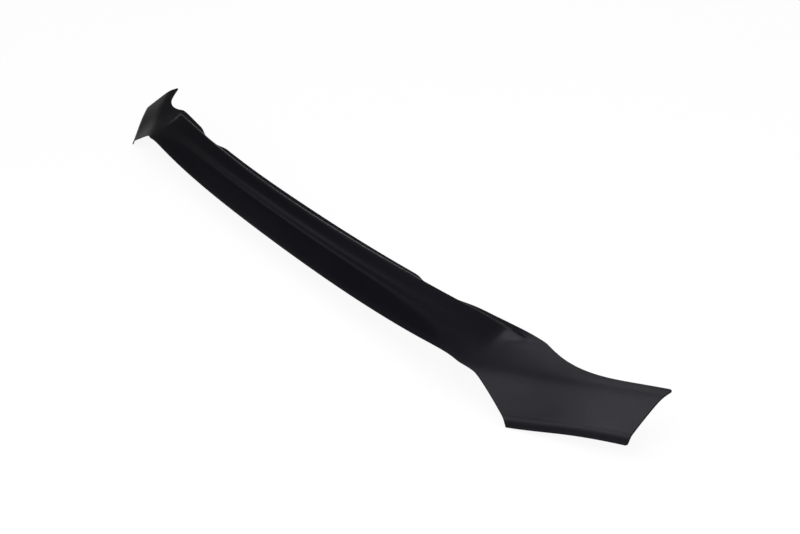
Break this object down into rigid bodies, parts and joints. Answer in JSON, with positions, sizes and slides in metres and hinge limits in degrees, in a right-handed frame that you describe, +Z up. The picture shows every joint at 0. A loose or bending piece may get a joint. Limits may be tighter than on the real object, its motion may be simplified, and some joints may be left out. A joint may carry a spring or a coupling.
{
  "type": "hood bug deflector",
  "caption": "Long one-piece moulded hood guard with a drop face, a raised air lip along the rear and a swept wing at each end, stuck on with foam tape.",
  "frame": {"origin": "in the mirror plane, in the middle of the level seat of the centre tape, where the guard sits on the hood's leading edge", "axes": "+X across the vehicle to the right as seen from in front, +Y towards the windscreen, +Z up"},
  "size_m": [1.6214, 0.1859, 0.0851],
  "materials": {
    "shell": "satin black with a fine leather grain",
    "foam_tape": "matte dark grey foam"
  },
  "bodies": {
    "root": {"guard_shell": "shell", "tape_centre": "foam_tape", "tape_bar_left": "foam_tape", "tape_bar_right": "foam_tape", "tape_rear_left": "foam_tape", "tape_rear_right": "foam_tape", "tape_wing_front_left": "foam_tape", "tape_wing_front_right": "foam_tape", "tape_wing_rear_left": "foam_tape", "tape_wing_rear_right": "foam_tape"}
  },
  "joints": []
}
